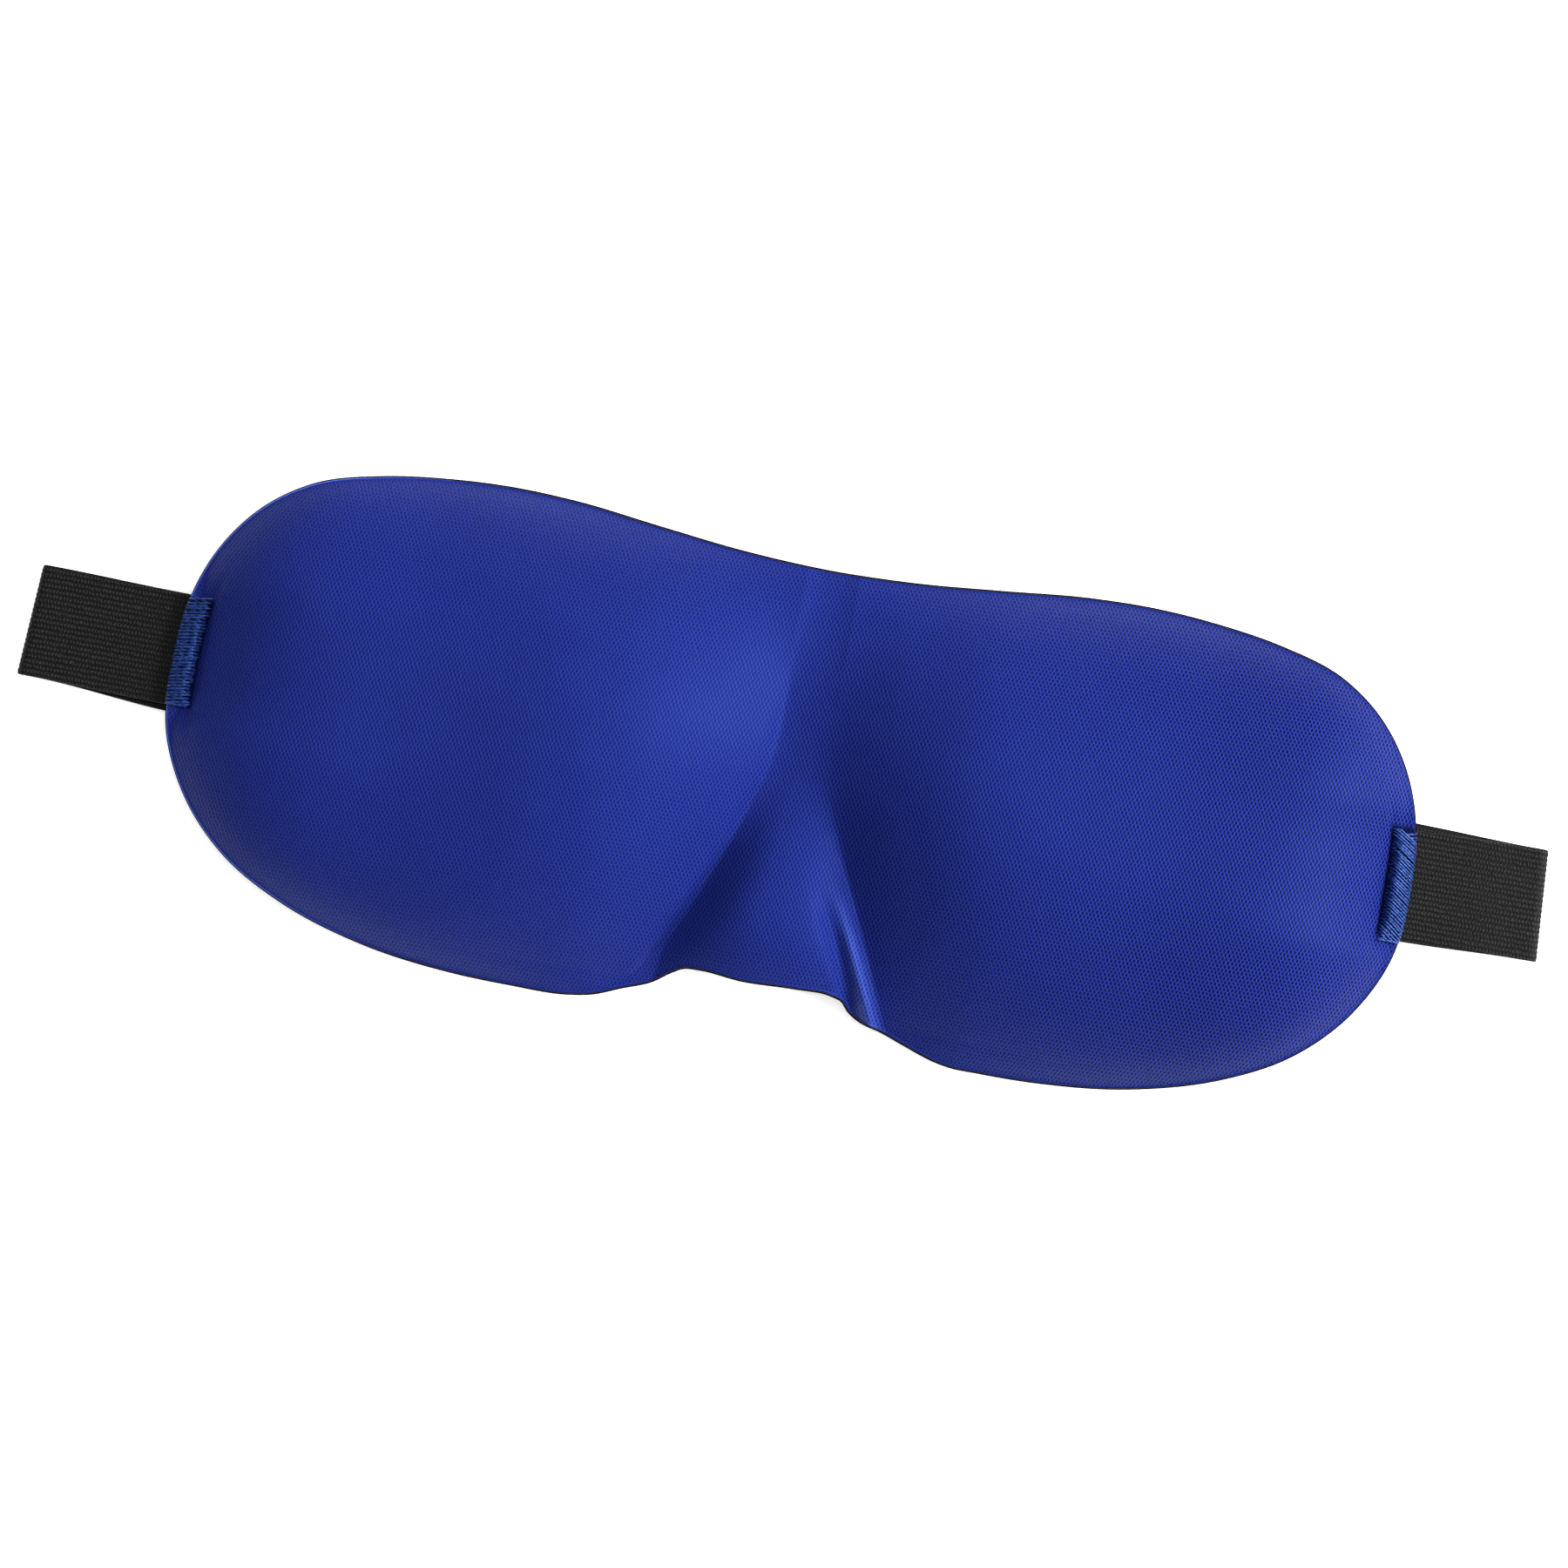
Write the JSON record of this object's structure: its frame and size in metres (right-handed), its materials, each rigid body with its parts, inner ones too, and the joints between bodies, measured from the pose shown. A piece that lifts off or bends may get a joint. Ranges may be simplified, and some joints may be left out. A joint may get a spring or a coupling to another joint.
{
  "type": "contoured sleep eye patch",
  "caption": "Contoured eye patch: a moulded, fabric-covered foam mask with domed eye cups and a nose arch, on a flat elastic strap that closes with hook and loop behind the head.",
  "frame": {"origin": "centre of the overall box in X and Y, on the surface that the patch lies on", "axes": "+X along the mask from the left fold to the right fold as seen from the front, +Y towards the forehead edge, +Z out of the front face"},
  "size_m": [0.2838, 0.0897, 0.0241],
  "materials": {
    "blue_knit": "satin",
    "foam": "matte",
    "black_knit": "matte",
    "blue_thread": "satin",
    "black_thread": "satin",
    "elastic": "matte",
    "hook_tape": "matte",
    "loop_tape": "matte"
  },
  "bodies": {
    "mask": {"outer_fabric": "blue_knit", "foam_core": "foam", "lining_fabric": "black_knit", "left_tack_needle_thread": "blue_thread", "left_tack_bobbin_thread": "blue_thread", "right_tack_needle_thread": "blue_thread", "right_tack_bobbin_thread": "blue_thread", "left_strap_anchor": "elastic", "right_strap_anchor": "elastic"},
    "left_tab": {"left_strap_tab": "elastic", "left_strap_fold": "elastic"},
    "left_band": {"left_strap_band": "elastic"},
    "left_end": {"left_strap_end": "elastic", "hook_patch": "hook_tape", "hook_patch_stitching": "black_thread"},
    "right_tab": {"right_strap_tab": "elastic", "right_strap_fold": "elastic"},
    "right_band": {"right_strap_band": "elastic", "loop_patch": "loop_tape", "loop_patch_stitching": "black_thread"}
  },
  "joints": [
    {"name": "left_tab_swing", "type": "hinge", "parent": "mask", "child": "left_tab", "pos_m": [-0.1154, 0.004, 0.0029], "axis": [0, -1, 0], "range_deg": [0, 90]},
    {"name": "left_fold_open", "type": "hinge", "parent": "left_tab", "child": "left_band", "pos_m": [-0.1402, 0.004, 0.00175], "axis": [0, 1, 0], "range_deg": [0, 90], "deforming": ["left_strap_fold"]},
    {"name": "right_tab_swing", "type": "hinge", "parent": "mask", "child": "right_tab", "pos_m": [0.1154, 0.004, 0.0029], "axis": [0, 1, 0], "range_deg": [0, 90]},
    {"name": "right_fold_open", "type": "hinge", "parent": "right_tab", "child": "right_band", "pos_m": [0.1402, 0.004, 0.00175], "axis": [0, -1, 0], "range_deg": [0, 90], "deforming": ["right_strap_fold"]},
    {"name": "hook_end_peel", "type": "hinge", "parent": "left_band", "child": "left_end", "pos_m": [-0.0125, 0.004, 0], "axis": [0, 1, 0], "range_deg": [0, 110]}
  ],
  "couplings": [
    {"joint": "left_fold_open", "follows": "left_tab_swing", "ratio": 1},
    {"joint": "right_tab_swing", "follows": "left_tab_swing", "ratio": 1},
    {"joint": "right_fold_open", "follows": "left_tab_swing", "ratio": 1}
  ]
}
